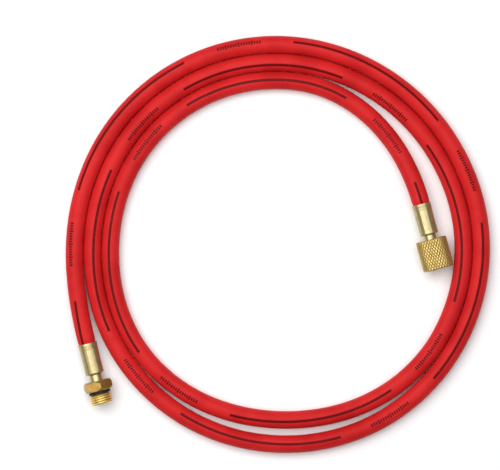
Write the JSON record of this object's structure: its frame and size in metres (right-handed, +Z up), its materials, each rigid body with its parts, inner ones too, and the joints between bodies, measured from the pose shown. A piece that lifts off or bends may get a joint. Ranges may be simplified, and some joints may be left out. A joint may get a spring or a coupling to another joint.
{
  "type": "refrigerant charging hose",
  "caption": "Red service hose with a knurled swivel nut on one end and a threaded male fitting on the other, lying in flat turns.",
  "frame": {"origin": "on the floor, under the middle of the box round the hose's turns", "axes": "+Z up from the floor; +X along the longer side of the turns, with the swivel nut's end on +X and the male fitting's end on -X; both fittings point towards -Y"},
  "size_m": [0.2756, 0.2702, 0.0202],
  "materials": {
    "hose": "satin red rubber with a broken black stripe",
    "ferrule": "bright crimped brass",
    "brass": "turned brass, darker on the hexagon and thread",
    "nut": "fine diamond knurl",
    "seal": "matt black rubber"
  },
  "bodies": {
    "hose_body": {"hose": "hose", "male_ferrule": "ferrule", "male_fitting": "brass", "o_ring": "seal", "swivel_ferrule": "ferrule", "swivel_stem": "brass", "nut_gasket": "seal"},
    "nut_body": {"swivel_nut": "nut"}
  },
  "joints": [
    {"name": "nut_swivel", "type": "hinge", "parent": "hose_body", "child": "nut_body", "pos_m": [0.09958, 0.00146, 0.0101], "axis": [0.26, -0.9656, 0], "continuous": true}
  ]
}
